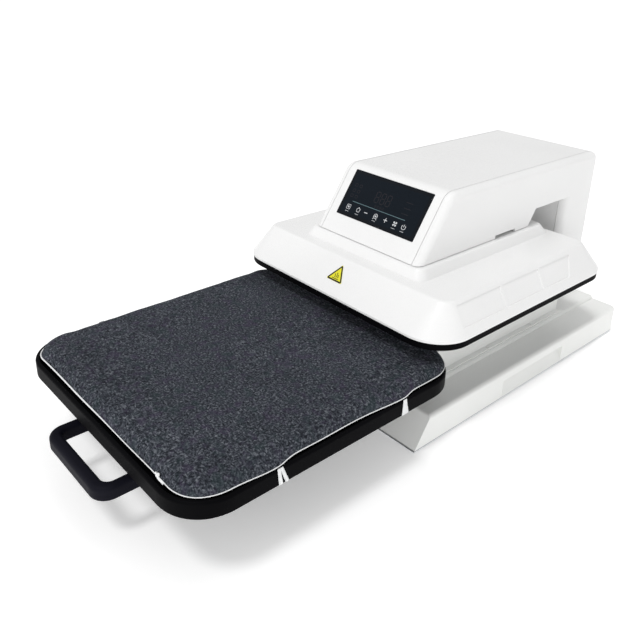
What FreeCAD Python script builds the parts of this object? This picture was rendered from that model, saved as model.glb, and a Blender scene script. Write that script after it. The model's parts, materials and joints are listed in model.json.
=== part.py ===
import FreeCAD, Part
import math
import os

# Automatic heat press with a drawer-type lower platen.
# Frame: X across (symmetric about X = 0), -Y towards the operator, +Z up, Z = 0 on the table.
# The drawer is out and the head is up. Everything is in millimetres.
# The dimensions below measure Y from a plane just in front of the arm; each finished piece is
# moved along Y so that the origin lies under the middle of the whole footprint.

os.makedirs("parts", exist_ok=True)
V = FreeCAD.Vector

# ---- driving dimensions ---------------------------------------------------------------------
# base
base_w = 385.0
base_front_foot = -72.0      # y of the front wall at its foot
base_front_head = -42.0      # y of the front wall at its top (it leans back)
base_back = 480.0
base_side_h = 49.5
base_deck_h = 55.0
base_deck_w = 294.0
base_rear_r = 12.0
base_edge_r = 6.0
foot_h = 3.0
floor_t = 2.0
sheet_t = 1.5
# arm and column
arm_w = 216.0
arm_top = 321.6
arm_bottom = 227.0
arm_back = 476.0
slope_foot_y = 6.5
slope_head_y = 69.7
column_front = 385.0
relief_top = 254.0
relief_front = 293.0
relief_toe = 275.0
arm_corner_r = 24.0
arm_rear_r = 13.0
arm_edge_r = 11.0
column_corner_r = 15.0
cover_t = 3.0
seam_x = 95.0
seam_gap = 0.8
frame_t = 6.0
frame_x = 78.0
# head
head_w = 430.0
head_front = -66.7
head_back = 370.3
head_r = 57.0
head_lip_bottom = 166.5
head_lip_top = 169.5
head_top = 212.0
head_top_w = 374.0
head_top_front = -26.0
head_top_back = 327.0
head_top_r = 18.0
head_wall = 2.5
rim_bottom = 156.5
plinth_top = 226.0
heat_plate = 381.0
heat_plate_bottom = 155.5
heat_plate_t = 14.0
# drawer
tray_w = 417.0
tray_front = -431.8
tray_back = -2.5
tray_r = 57.0
tray_bottom = 95.8
tray_top = 117.5
tray_wall = 5.0
platen_t = 12.0
platen_bottom = 112.0
pad_t = 8.0
cover_cloth_t = 1.2
drawer_travel = 366.0
slide_length = 390.0
slide_bottom = 58.0
slide_top = 93.0
handle_w = 147.0
handle_front = -462.5
handle_bottom = 56.0
handle_h = 19.0
# drive
screw_r = 8.0
run_gap = 0.05
rod_r = 8.0
rod_dx = 58.0
rod_dy = 60.0

head_cy = (head_front + head_back) / 2
tray_cy = (tray_front + tray_back) / 2
footprint_cy = (handle_front + base_back) / 2
FAR = 1000.0


# ---- helpers --------------------------------------------------------------------------------
def box(x0, x1, y0, y1, z0, z1):
    return Part.makeBox(x1 - x0, y1 - y0, z1 - z0, V(x0, y0, z0))


def post(x, y, z0, z1, r):
    return Part.makeCylinder(r, z1 - z0, V(x, y, z0))


def rod_y(x, z, y0, y1, r):
    return Part.makeCylinder(r, y1 - y0, V(x, y0, z), V(0, 1, 0))


def polygon(points):
    return Part.Face(Part.makePolygon(points + [points[0]]))


def prism_x(yz, x0, x1):
    return polygon([V(x0, y, z) for y, z in yz]).extrude(V(x1 - x0, 0, 0))


def prism_y(xz, y0, y1):
    return polygon([V(x, y0, z) for x, z in xz]).extrude(V(0, y1 - y0, 0))


def rounded_wire(w, y0, y1, r, z):
    # rectangle with rounded corners, lying flat at height z and centred on X = 0
    a = w / 2
    k = r * (1 - math.sqrt(0.5))
    edges = []
    corners = [(a, y0, -1, 1), (a, y1, -1, -1), (-a, y1, 1, -1), (-a, y0, 1, 1)]
    ends = []
    for i, (cx, cy, sx, sy) in enumerate(corners):
        along_y = V(cx, cy + sy * r, z)
        along_x = V(cx + sx * r, cy, z)
        mid = V(cx + sx * k, cy + sy * k, z)
        first, last = (along_x, along_y) if i % 2 == 0 else (along_y, along_x)
        ends.append((first, mid, last))
    for i, (first, mid, last) in enumerate(ends):
        edges.append(Part.Arc(first, mid, last).toShape())
        edges.append(Part.makeLine(last, ends[(i + 1) % 4][0]))
    return Part.Wire(edges)


def slab(w, y0, y1, r, z0, z1):
    return Part.Face(rounded_wire(w, y0, y1, r, z0)).extrude(V(0, 0, z1 - z0))


def square_slab(cy, side, r, z0, z1):
    return slab(side, cy - side / 2, cy + side / 2, r, z0, z1)


def round_edges(shape, r, wanted):
    edges = [e for e in shape.Edges if wanted(e)]
    return shape.makeFillet(r, edges)


def flat_at(z):
    return lambda e: abs(e.BoundBox.ZMin - z) < 1e-3 and abs(e.BoundBox.ZMax - z) < 1e-3


def mirrored(shape):
    return shape.mirror(V(0, 0, 0), V(1, 0, 0))


def four(dx, cy, dy):
    return [(sx * dx, cy + sy * dy) for sx in (-1, 1) for sy in (-1, 1)]


def save(name, *shapes):
    shape = shapes[0] if len(shapes) == 1 else Part.makeCompound(list(shapes))
    if len(shapes) == 1 and len(shape.Solids) == 1:
        shape = shape.Solids[0]
    shape.translated(V(0, -footprint_cy, 0)).exportStep("parts/" + name + ".step")


def pan_head(x, y, z, r, h):
    head = post(x, y, z, z + h, r)
    head = round_edges(head, h * 0.45, flat_at(z + h))
    return head.cut(box(x - r * 0.6, x + r * 0.6, y - 0.5, y + 0.5, z + h * 0.5, z + h + 1))


# ---- base -----------------------------------------------------------------------------------
def base_block(inset, bottom):
    lean = (base_front_head - base_front_foot) / (base_side_h - foot_h)
    top = base_side_h - inset
    foot_y = base_front_foot + inset + lean * (bottom - foot_h)
    head_y = base_front_foot + inset + lean * (top - foot_h)
    back = base_back - inset
    half = base_w / 2 - inset
    block = prism_x([(foot_y, bottom), (back, bottom), (back, top), (head_y, top)], -half, half)

    def rear_corner(e):
        upright = e.BoundBox.XLength < 1e-3 and e.BoundBox.YLength < 1e-3
        return upright and e.BoundBox.YMax > base_back - 20
    block = round_edges(block, base_rear_r - inset, rear_corner)
    return round_edges(block, base_edge_r - inset, flat_at(top))


grip_y0 = 130.0
grip_y1 = 298.0
grip_z0 = 6.0
grip_z1 = 34.0
grip_depth = 10.0


def grip_scoop(wall):
    # hand grip pressed into each side wall: flush at its foot, deepest under its upper edge
    half = base_w / 2
    toe = grip_z0 - wall * 2
    inner = half - grip_depth - wall * 1.2
    right = prism_y([(half + 1, toe), (half, toe), (inner, grip_z1 + wall), (half + 1, grip_z1 + wall)],
                    grip_y0 - wall, grip_y1 + wall)
    return right.fuse(mirrored(right))


floor_top = foot_h + floor_t
outer = base_block(0.0, foot_h)
base_bottom = outer.common(box(-FAR, FAR, -FAR, FAR, foot_h, floor_top))
inner = base_block(sheet_t, 0.0).cut(grip_scoop(sheet_t))
base_shell = outer.cut(grip_scoop(0.0)).common(box(-FAR, FAR, -FAR, FAR, floor_top, FAR)).cut(inner)
deck_hole_half = base_deck_w / 2 - 10
base_shell = base_shell.cut(box(-deck_hole_half, deck_hole_half, -28, base_back - 14, 40, 60))
save("base_bottom", base_bottom)
save("base_shell", base_shell)

deck_front = -38.0
deck_back = base_back - 2.5
deck = slab(base_deck_w, deck_front, deck_back, 8.0, base_side_h, base_deck_h)
deck = round_edges(deck, 5.0, flat_at(base_deck_h))
deck_room = slab(base_deck_w - 3, deck_front + 1.5, deck_back - 1.5, 6.5, base_side_h - 1, base_deck_h - sheet_t)
deck = deck.cut(round_edges(deck_room, 4.0, flat_at(base_deck_h - sheet_t)))
deck = deck.cut(box(-95, 95, 392, 452, 40, 60))
save("base_deck", deck)

foot_xy = four(165.0, 195.0, 225.0)
save("rubber_feet", *[round_edges(post(x, y, 0, foot_h, 14), 0.8, flat_at(0.0)) for x, y in foot_xy])
deck_screw_xy = four(99.5, 434.0, 30.0)
save("deck_screws", *[pan_head(x, y, base_deck_h, 4.0, 2.2) for x, y in deck_screw_xy])

# ---- steel frame inside the arm and column ----------------------------------------------------
frame_low = 238.0
frame_high = 312.0
frame_profile = [(400, floor_top), (450, floor_top), (450, frame_high), (92, frame_high), (42, frame_low),
                 (264, frame_low), (284, 262), (400, 262)]
frame_plate = prism_x(frame_profile, frame_x, frame_x + frame_t)
for hole_y, hole_z, hole_r in ((130, 280, 14), (215, 280, 14), (310, 288, 12), (425, 120, 12), (425, 200, 12)):
    frame_plate = frame_plate.cut(Part.makeCylinder(hole_r, 20, V(frame_x - 5, hole_y, hole_z), V(1, 0, 0)))
save("frame_plate_right", frame_plate)
save("frame_plate_left", mirrored(frame_plate))

cross_plate = box(-frame_x, frame_x, 60, 262, frame_low, frame_low + 8)
bearing_r = 14.0
bush_r = 12.0
cross_plate = cross_plate.cut(post(0, head_cy, 200, 260, bearing_r))
rods_xy = four(rod_dx, head_cy, rod_dy)
for x, y in rods_xy:
    cross_plate = cross_plate.cut(post(x, y, 200, 260, bush_r))
save("arm_cross_plate", cross_plate)
top_brace = box(-frame_x, frame_x, 240, 450, frame_high - 6, frame_high)
save("arm_top_brace", top_brace.cut(box(-40, 40, 290, 410, 300, 320)))
save("column_brace", box(-frame_x, frame_x, 444, 450, 130, frame_high - 6))

angle_foot = box(frame_x + frame_t, 112, 404, 446, floor_top, floor_top + 4)
angle_leaf = box(frame_x + frame_t, frame_x + frame_t + 4, 404, 446, floor_top + 4, 46)
angle = angle_foot.fuse(angle_leaf).removeSplitter()
save("frame_angles", angle, mirrored(angle))


def hex_bolt(x, y, z):
    ring = [V(x + 6 * math.cos(math.radians(a)), y + 6 * math.sin(math.radians(a)), z) for a in range(0, 360, 60)]
    return polygon(ring).extrude(V(0, 0, 5))


save("frame_bolts", *[hex_bolt(x, y, floor_top + 4) for x, y in four(100.0, 425.0, 12.0)])

bush_bottom = frame_low - 6
bush_top = frame_low + 14


def guide_bush(x, y):
    bush = post(x, y, bush_bottom, bush_top, bush_r).fuse(post(x, y, bush_bottom, frame_low, 16))
    return bush.cut(post(x, y, 0, 400, rod_r + run_gap)).removeSplitter()


save("guide_bushes", *[guide_bush(x, y) for x, y in rods_xy])
bearing = post(0, head_cy, frame_low, frame_low + 8, bearing_r)
save("screw_bearing", bearing.cut(post(0, head_cy, 200, 260, screw_r + run_gap)))

# gear motor standing on the cross plate, over the screw
gear_bottom = frame_low + 8
gear_top = 284.0
gearbox = post(0, head_cy, gear_bottom, gear_top, 42)
gearbox = round_edges(gearbox, 3.0, flat_at(gear_top))
gearbox = gearbox.cut(post(0, head_cy, gear_bottom - 1, gear_bottom + 8, 16))
gearbox = gearbox.cut(post(0, head_cy, gear_bottom, gear_bottom + 26, 6 + run_gap))
save("gearbox", gearbox)
motor = post(0, head_cy, gear_top, 316, 31)
save("motor", round_edges(motor, 3.0, flat_at(316)))

# ---- arm and column covers --------------------------------------------------------------------
slope_run = slope_head_y - slope_foot_y
slope_rise = arm_top - arm_bottom
slope_len = math.hypot(slope_run, slope_rise)
slope_dir = (slope_run / slope_len, slope_rise / slope_len)


def rounded_corner(before, corner, after, r):
    # arc that rounds one corner of a profile in the YZ plane
    def unit(p, q):
        d = math.hypot(q[0] - p[0], q[1] - p[1])
        return ((q[0] - p[0]) / d, (q[1] - p[1]) / d)
    u = unit(corner, before)
    w = unit(corner, after)
    half = math.acos(u[0] * w[0] + u[1] * w[1]) / 2
    cut = r / math.tan(half)
    start = (corner[0] + u[0] * cut, corner[1] + u[1] * cut)
    end = (corner[0] + w[0] * cut, corner[1] + w[1] * cut)
    bis = (u[0] + w[0], u[1] + w[1])
    norm = math.hypot(bis[0], bis[1])
    reach = r / math.sin(half) - r
    mid = (corner[0] + bis[0] / norm * reach, corner[1] + bis[1] / norm * reach)
    return start, mid, end


def arm_body(inset, floor):
    # solid outline of arm and column, drawn in by 'inset' on every face
    tilt = inset / slope_dir[1]
    foot = (slope_foot_y + tilt + inset * slope_dir[0] / slope_dir[1], arm_bottom + inset)
    lean = slope_run / slope_rise
    head = (slope_foot_y + tilt + lean * (slope_rise - inset), arm_top - inset)
    rear = (arm_back - inset, arm_top - inset)
    low = (arm_back - inset, floor)
    c1 = rounded_corner(foot, head, rear, arm_corner_r - inset)
    c2 = rounded_corner(head, rear, low, arm_rear_r - inset)
    tail = [low, (column_front + inset, floor), (column_front + inset, relief_top + inset),
            (relief_front - inset * 0.6, relief_top + inset), (relief_toe - inset * 0.6, arm_bottom + inset), foot]
    x = -arm_w / 2 + inset

    def p(q):
        return V(x, q[0], q[1])
    edges = [Part.makeLine(p(foot), p(c1[0])), Part.Arc(p(c1[0]), p(c1[1]), p(c1[2])).toShape(),
             Part.makeLine(p(c1[2]), p(c2[0])), Part.Arc(p(c2[0]), p(c2[1]), p(c2[2])).toShape(),
             Part.makeLine(p(c2[2]), p(low))]
    for a, b in zip(tail, tail[1:]):
        edges.append(Part.makeLine(p(a), p(b)))
    body = Part.Face(Part.Wire(edges)).extrude(V(arm_w - 2 * inset, 0, 0))

    def outer_edge(e):
        side = e.BoundBox.XLength < 1e-3
        middle = e.BoundBox.Center
        over_slope = middle.z > arm_bottom + 5 and middle.y < slope_head_y
        over_top = middle.z > arm_top - arm_corner_r
        behind = middle.y > arm_back - arm_rear_r
        return side and (over_slope or over_top or behind) and middle.y != column_front + inset
    body = round_edges(body, arm_edge_r - inset, outer_edge)

    def column_edge(e):
        upright = e.BoundBox.XLength < 1e-3 and e.BoundBox.YLength < 1e-3
        return upright and abs(e.BoundBox.YMax - column_front - inset) < 1e-3
    return round_edges(body, column_corner_r - inset, column_edge)


shell = arm_body(0.0, base_deck_h).cut(arm_body(cover_t, base_deck_h - 5))
# short slot in the lower edge of each side
shell = shell.cut(box(-FAR, FAR, 186, 240, arm_bottom - 1, arm_bottom + 5).cut(box(-100, 100, 0, 400, 0, 400)))
half_gap = seam_gap / 2
middle_part = box(-seam_x + half_gap, seam_x - half_gap, -FAR, FAR, 0, FAR)
side_part = box(seam_x + half_gap, FAR, -FAR, FAR, 0, FAR)
side_cover = shell.common(side_part)
save("arm_side_right", side_cover)
save("arm_side_left", mirrored(side_cover))

band = shell.common(middle_part)
rear_split = 298.0
under_zone = box(-FAR, FAR, -FAR, relief_toe - 6, 0, arm_bottom + cover_t)
front_zone = box(-FAR, FAR, relief_toe - 6, column_front + 20, 0, relief_top + cover_t + 1)
rear_zone = box(-FAR, FAR, column_front + 20, FAR, 0, rear_split)
under_cover = band.common(under_zone)
column_cover = band.common(front_zone)
rear_cover = band.common(rear_zone)
top_cover = band.cut(under_zone.fuse(front_zone).fuse(rear_zone))
for x, y in rods_xy:
    under_cover = under_cover.cut(post(x, y, 0, 400, rod_r + 1.5))
    under_cover = under_cover.cut(post(x, y, arm_bottom + cover_t - 0.01, 400, 17))
under_cover = under_cover.cut(post(0, head_cy, 0, 400, screw_r + 2))
# fine gaps where the covers meet
under_cover = under_cover.cut(box(-FAR, FAR, relief_toe - 6 - half_gap, FAR, 0, FAR))
column_cover = column_cover.cut(box(-FAR, FAR, relief_toe - 7, relief_toe - 6 + half_gap, 0, FAR))
top_cover = top_cover.cut(box(-FAR, FAR, column_front, FAR, 0, rear_split + half_gap))
rear_cover = rear_cover.cut(box(-FAR, FAR, -FAR, FAR, rear_split - half_gap, FAR))

# display window in the slope
glass_w = 158.8
glass_l = 75.4
glass_t = 3.0
glass_y = 44.35
glass_z = 283.65
slope_angle = math.degrees(math.atan2(slope_rise, slope_run))


def on_slope(w, length, r, low, high):
    # plate parallel to the slope: 'low' and 'high' are heights above the slope's face
    plate = slab(w, -length / 2, length / 2, r, low, high)
    plate.rotate(V(0, 0, 0), V(1, 0, 0), slope_angle)
    plate.translate(V(0, glass_y, glass_z))
    return plate


top_cover = top_cover.cut(on_slope(glass_w + 0.4, glass_l + 0.4, 1.7, -10, 10))
save("arm_top_cover", top_cover)
save("arm_under_cover", under_cover)
save("column_front_cover", column_cover)
save("display_glass", on_slope(glass_w, glass_l, 1.5, 0.5 - glass_t, 0.5))
save("display_board", on_slope(150, 66, 2.0, -11.6, -10.0).fuse(on_slope(126, 40, 1.0, -10.0, -4.0)))

# ---- power entry on the back of the column ------------------------------------------------------
inlet_x = 46.0
inlet_z = 92.0
switch_x = -22.0
wall_in = arm_back - 8
wall_out = arm_back + 8
rear_cover = rear_cover.cut(box(inlet_x - 23.7, inlet_x + 23.7, wall_in, wall_out, inlet_z - 13.7, inlet_z + 13.7))
rear_cover = rear_cover.cut(box(switch_x - 14.2, switch_x + 14.2, wall_in, wall_out, inlet_z - 10.7, inlet_z + 10.7))
vent_half = 42.0
for i in range(6):
    vent_z = 150 + 12 * i
    rear_cover = rear_cover.cut(box(-vent_half, vent_half, wall_in, wall_out, vent_z - 2, vent_z + 2))
save("rear_cover", rear_cover)

inlet = box(inlet_x - 23.5, inlet_x + 23.5, arm_back - 29, arm_back, inlet_z - 13.5, inlet_z + 13.5)
inlet = inlet.fuse(box(inlet_x - 27, inlet_x + 27, arm_back, arm_back + 1.5, inlet_z - 16, inlet_z + 16))
inlet_floor = arm_back - 15
inlet = inlet.cut(box(inlet_x - 12.2, inlet_x + 12.2, inlet_floor, wall_out, inlet_z - 8.2, inlet_z + 8.2))
inlet = inlet.removeSplitter()
for pin_x, pin_z in ((-7.0, 2.0), (7.0, 2.0), (0.0, -2.0)):
    pin = box(inlet_x + pin_x - 1, inlet_x + pin_x + 1, inlet_floor, arm_back - 4, inlet_z + pin_z - 2,
              inlet_z + pin_z + 2)
    inlet = inlet.fuse(pin)
save("power_inlet", inlet.removeSplitter())

housing = box(switch_x - 14, switch_x + 14, arm_back - 21, arm_back, inlet_z - 10.5, inlet_z + 10.5)
housing = housing.fuse(box(switch_x - 16, switch_x + 16, arm_back, arm_back + 1.5, inlet_z - 12.5, inlet_z + 12.5))
housing = housing.cut(box(switch_x - 12.3, switch_x + 12.3, arm_back - 13, wall_out, inlet_z - 9.8, inlet_z + 9.8))
save("switch_housing", housing.removeSplitter())
rocker_profile = [(arm_back - 9, inlet_z - 5), (arm_back - 9, inlet_z + 5), (arm_back - 1, inlet_z + 8.6),
                  (arm_back + 1.2, inlet_z + 8.2), (arm_back - 1.4, inlet_z), (arm_back - 1.6, inlet_z - 8.2),
                  (arm_back - 3.5, inlet_z - 8.6)]
save("power_rocker", prism_x(rocker_profile, switch_x - 12, switch_x + 12))


def rear_screw(x, z):
    head = pan_head(x, 0, 0, 3.6, 1.8)
    head.rotate(V(x, 0, 0), V(1, 0, 0), -90)
    head.translate(V(0, arm_back, z))
    return head


save("rear_screws", *[rear_screw(x, z) for x in (-82, 82) for z in (68, 180, 284)])

# ---- electronics --------------------------------------------------------------------------------
control = box(-60, 60, 405, 406.6, 120, 250)
for x0, x1, z0, z1, h in ((-50, -20, 200, 240, 14), (-8, 22, 210, 240, 8), (34, 54, 130, 160, 18),
                          (-50, -10, 130, 160, 12), (0, 22, 160, 182, 3)):
    control = control.fuse(box(x0, x1, 406.6, 406.6 + h, z0, z1))
save("control_board", control.removeSplitter())
supply = box(-126, -30, 170, 330, floor_top, 44)
for i in range(12):
    supply = supply.cut(box(-110, -46, 188 + 11 * i, 193 + 11 * i, 42, 50))
save("power_supply", supply)
relay = box(40, 100, 230, 276, floor_top, 12).fuse(box(44, 96, 232, 274, 12, 30))
save("heater_relay", relay.removeSplitter())

# ---- drawer slides ------------------------------------------------------------------------------
slide_y0 = -35.0
slide_y1 = slide_y0 + slide_length


def channel(x_web, x_open, z0, z1, t, y0, y1):
    # C-section with its web at x_web and its flanges reaching to x_open
    lo = min(x_web, x_open)
    hi = max(x_web, x_open)
    section = box(lo, hi, y0, y1, z0, z1)
    if x_web > x_open:
        return section.cut(box(lo - 1, hi - t, y0 - 1, y1 + 1, z0 + t, z1 - t))
    return section.cut(box(lo + t, hi + 1, y0 - 1, y1 + 1, z0 + t, z1 - t))


outer_slide = channel(131, 119, slide_bottom, slide_top, 1.5, slide_y0, slide_y1)
half_out = -drawer_travel / 2
middle_slide = channel(129, 120.5, 59.9, 91.1, 1.5, slide_y0 + half_out, slide_y1 + half_out)
inner_slide = channel(118.5, 126.9, 61.9, 89.1, 1.5, slide_y0 - drawer_travel, slide_y1 - drawer_travel)
bracket_y1 = 368.0
bracket = box(131, 133, slide_y0, bracket_y1, base_deck_h, slide_top)
bracket = bracket.fuse(box(133, 141, slide_y0, bracket_y1, base_deck_h, base_deck_h + 2)).removeSplitter()
for hole_y in (40, 160, 280):
    bracket = bracket.cut(post(137, hole_y, 50, 60, 2.2))
for name, part in (("slide_outer", outer_slide), ("slide_middle", middle_slide), ("slide_inner", inner_slide),
                   ("slide_bracket", bracket)):
    save(name + "_right", part)
    save(name + "_left", mirrored(part))
save("drawer_bumpers", *[rod_y(x, 107, column_front - 15, column_front, 8) for x in (-60, 60)])

# ---- drawer -------------------------------------------------------------------------------------
carriage_front = -396.0
carriage_back = -14.0
rail_x = 118.5
carriage = box(-rail_x, rail_x, carriage_front, carriage_back, slide_top + 0.5, tray_bottom)
carriage = carriage.cut(box(-90, 90, carriage_front + 60, carriage_back - 50, 90, 99))
for x0, x1 in ((-rail_x, -rail_x + 1.5), (rail_x - 1.5, rail_x)):
    carriage = carriage.fuse(box(x0, x1, carriage_front, carriage_back, 62, slide_top + 0.5))
front_plate_bottom = 58.0
front_plate = box(-rail_x + 1.5, rail_x - 1.5, carriage_front, carriage_front + 3, front_plate_bottom,
                  slide_top + 0.5)
save("drawer_carriage", carriage.fuse(front_plate).removeSplitter())

tray = slab(tray_w, tray_front, tray_back, tray_r, tray_bottom, tray_top)
tray = round_edges(tray, 1.0, flat_at(tray_bottom))
tray = round_edges(tray, 3.6, flat_at(tray_top))
hollow_r = tray_r - tray_wall
tray = tray.cut(slab(tray_w - 2 * tray_wall, tray_front + tray_wall, tray_back - tray_wall, hollow_r,
                     tray_bottom + tray_wall, tray_top + 1))
save("platen_tray", tray)
post_xy = four(130.0, tray_cy, 140.0)
save("platen_posts", *[post(x, y, tray_bottom + tray_wall, platen_bottom, 12) for x, y in post_xy])

platen_top = platen_bottom + platen_t
pad_top = platen_top + pad_t
pad_w = 401.0
pad_front = -419.5
pad_back = -8.5
pad_r = 49.0
platen = slab(pad_w, pad_front, pad_back, pad_r, platen_bottom, platen_top)
save("lower_platen", platen)
pad_edge_r = 6.0
pad = slab(pad_w, pad_front, pad_back, pad_r, platen_top, pad_top)
save("silicone_pad", round_edges(pad, pad_edge_r, flat_at(pad_top)))

skirt_bottom = 120.6
cloth_gap = 0.3
skin = cloth_gap + cover_cloth_t
cover_top = pad_top + skin
hood = slab(pad_w + 2 * skin, pad_front - skin, pad_back + skin, pad_r + skin, skirt_bottom, cover_top)
hood = round_edges(hood, pad_edge_r + skin, flat_at(cover_top))
lining_top = pad_top + cloth_gap
room = slab(pad_w + 2 * cloth_gap, pad_front - cloth_gap, pad_back + cloth_gap, pad_r + cloth_gap,
            skirt_bottom - 5, lining_top)
room = round_edges(room, pad_edge_r + cloth_gap, flat_at(lining_top))
save("pad_cover", hood.cut(room))

# elastic straps that run from the hem of the cover to the underside of the tray
strap_y = (-313.0, -119.0)
strap_w = 12.0
strap_t = 1.0
lap_top = skirt_bottom - 0.4


def strap(y):
    wall = tray_w / 2 + 0.3
    hook = box(wall - 30, wall + strap_t, y - strap_w / 2, y + strap_w / 2, tray_bottom - 0.3 - strap_t,
               tray_bottom - 0.3)
    rise = box(wall, wall + strap_t, y - strap_w / 2, y + strap_w / 2, tray_bottom - 0.3, lap_top)
    lap = box(pad_w / 2 + 0.5, wall + strap_t, y - strap_w / 2, y + strap_w / 2, lap_top - strap_t, lap_top)
    return hook.fuse(rise).fuse(lap).removeSplitter()


straps = [strap(y) for y in strap_y]
save("cover_straps", *(straps + [mirrored(s) for s in straps]))

handle_top = handle_bottom + handle_h
bar_depth = 15.5
arm_inner_x = 60.0
handle_back = carriage_front
handle = slab(handle_w, handle_front, handle_back + 60, 22.0, handle_bottom, handle_top)
handle = handle.cut(box(-FAR, FAR, handle_back, FAR, 0, FAR))
grip_hole = slab(2 * arm_inner_x, handle_front + bar_depth, handle_back + 60, 10.0, 0, 200)
handle = handle.cut(grip_hole)


def handle_outline(z):
    def wanted(e):
        attached = abs(e.BoundBox.YMin - handle_back) < 1e-3
        return flat_at(z)(e) and not attached
    return wanted


handle = round_edges(handle, 5.5, handle_outline(handle_top))
handle = round_edges(handle, 3.5, handle_outline(handle_bottom))
save("drawer_handle", handle)


def handle_screw(x, z):
    head = pan_head(x, 0, 0, 3.0, 1.8)
    head.rotate(V(x, 0, 0), V(1, 0, 0), -90)
    head.translate(V(0, carriage_front + 3, z))
    return head


save("handle_screws", *[handle_screw(x, z) for x in (-66, 66) for z in (63, 71)])

# ---- head ---------------------------------------------------------------------------------------
def head_block(inset, top_inset):
    lip = slab(head_w - 2 * inset, head_front + inset, head_back - inset, head_r - inset, head_lip_bottom,
               head_lip_top)
    low = rounded_wire(head_w - 2 * inset, head_front + inset, head_back - inset, head_r - inset, head_lip_top)
    high = rounded_wire(head_top_w - 2 * inset, head_top_front + inset, head_top_back - inset,
                        head_top_r - inset, head_top - top_inset)
    return lip.fuse(Part.makeLoft([low, high], True, True)).removeSplitter()


head_cover = head_block(0.0, 0.0)
head_cover = round_edges(head_cover, 7.0, flat_at(head_top))
head_cover = head_cover.cut(head_block(head_wall, head_wall).fuse(
    slab(head_w - 2 * head_wall, head_front + head_wall, head_back - head_wall, head_r - head_wall,
         head_lip_bottom - 5, head_lip_bottom + 1)))
side_lean = (head_w - head_top_w) / 2 / (head_top - head_lip_top)


def slope_x(z, depth):
    return head_w / 2 - side_lean * (z - head_lip_top) - depth


# three shallow fields pressed into each side slope; the rearmost one ends in a slanting edge
field_depth = 1.5
field_low = 180.0
field_high = 206.5
field_strip = prism_y([(slope_x(field_low, field_depth), field_low), (slope_x(field_low, -3), field_low),
                       (slope_x(field_high, -3), field_high), (slope_x(field_high, field_depth), field_high)],
                      head_front, head_back)
for y0, y1, y1_high in ((-12.0, 84.0, 87.0), (90.0, 178.0, 181.0), (184.0, 249.0, 269.0)):
    field = prism_x([(y0, field_low), (y1, field_low), (y1_high, field_high), (y0 + 3, field_high)], 150, 230)
    field = field.common(field_strip)
    head_cover = head_cover.cut(field).cut(mirrored(field))
# low raised block that stands just clear of the arm's underside
plinth_low = rounded_wire(248.0, -6.0, 322.0, 18.0, head_top - 0.5)
plinth_high = rounded_wire(229.0, 4.0, 310.0, 12.0, plinth_top)
plinth = Part.makeLoft([plinth_low, plinth_high], True, True)
plinth = round_edges(plinth, 4.0, flat_at(plinth_top))
head_cover = head_cover.fuse(plinth)
press_top = 200.0
press_bottom = 192.0
for x, y in four(125.0, head_cy, 125.0):
    head_cover = head_cover.fuse(post(x, y, press_top, head_top - 1, 8))
for x, y in rods_xy:
    head_cover = head_cover.cut(post(x, y, 150, 260, rod_r + 0.6))
head_cover = head_cover.cut(post(0, head_cy, 150, 260, 21.0))
save("head_cover", head_cover.removeSplitter())

rim_inset = 1.0
rim = slab(head_w - 2 * rim_inset, head_front + rim_inset, head_back - rim_inset, head_r - rim_inset, rim_bottom,
           head_lip_bottom)
rim = round_edges(rim, 0.5, flat_at(rim_bottom))
rim = rim.cut(slab(head_w - 8, head_front + 4, head_back - 4, head_r - 4, rim_bottom + 2, head_lip_bottom + 1))
rim = rim.cut(square_slab(head_cy, heat_plate + 5, 14, rim_bottom - 1, rim_bottom + 3))
save("head_rim", rim)

heat_top = heat_plate_bottom + heat_plate_t
heater = square_slab(head_cy, heat_plate, 12, heat_plate_bottom, heat_top)
save("heat_platen", round_edges(heater, 1.5, flat_at(heat_plate_bottom)))

tube_r = 3.5
leg_x = (-150, -90, -30, 30, 90, 150)
leg_half = 130.0
tube_z = heat_top + tube_r


def leg_point(i, end):
    return V(leg_x[i], head_cy + end * leg_half, tube_z)


path = []
for i in range(6):
    end = 1 if i % 2 == 0 else -1
    path.append(Part.makeLine(leg_point(i, -end), leg_point(i, end)))
    if i < 5:
        turn = V(leg_x[i] + 30, head_cy + end * (leg_half + 30), tube_z)
        path.append(Part.Arc(leg_point(i, end), turn, leg_point(i + 1, end)).toShape())
ring = Part.Wire(Part.makeCircle(tube_r, leg_point(0, -1), V(0, 1, 0)))
save("heating_element", Part.Wire(path).makePipeShell([ring], True, False))

standoff_xy = four(120.0, head_cy, 110.0)
insulation = square_slab(head_cy, 350, 30, 179, 189).cut(post(0, head_cy, 170, 195, 16))
for x, y in standoff_xy:
    insulation = insulation.cut(post(x, y, 170, 195, 10))
save("insulation_board", insulation)
save("platen_standoffs", *[post(x, y, heat_top, press_bottom, 9) for x, y in standoff_xy])

nut_r = 12.0
press_plate = square_slab(head_cy, 290, 20, press_bottom, press_top)
press_plate = press_plate.cut(post(0, head_cy, 180, 210, nut_r))
for x, y in rods_xy:
    press_plate = press_plate.cut(post(x, y, 180, 210, rod_r))
save("pressure_plate", press_plate)
rod_top = 276.0
save("guide_rods", *[round_edges(post(x, y, press_bottom, rod_top, rod_r), 1.0, flat_at(rod_top))
                     for x, y in rods_xy])
nut = post(0, head_cy, press_bottom, 222, nut_r).fuse(post(0, head_cy, press_top, press_top + 5, 20))
save("screw_nut", nut.cut(post(0, head_cy, 150, 250, screw_r + run_gap)).removeSplitter())

# lead screw with its thrust collar and drive end
screw = post(0, head_cy, 190.5, gear_bottom + 0.3, screw_r)
screw = screw.fuse(post(0, head_cy, gear_bottom + 0.3, gear_bottom + 4, 12))
screw = screw.fuse(post(0, head_cy, gear_bottom + 4, gear_bottom + 24, 6))
save("lead_screw", screw.removeSplitter())

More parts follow.
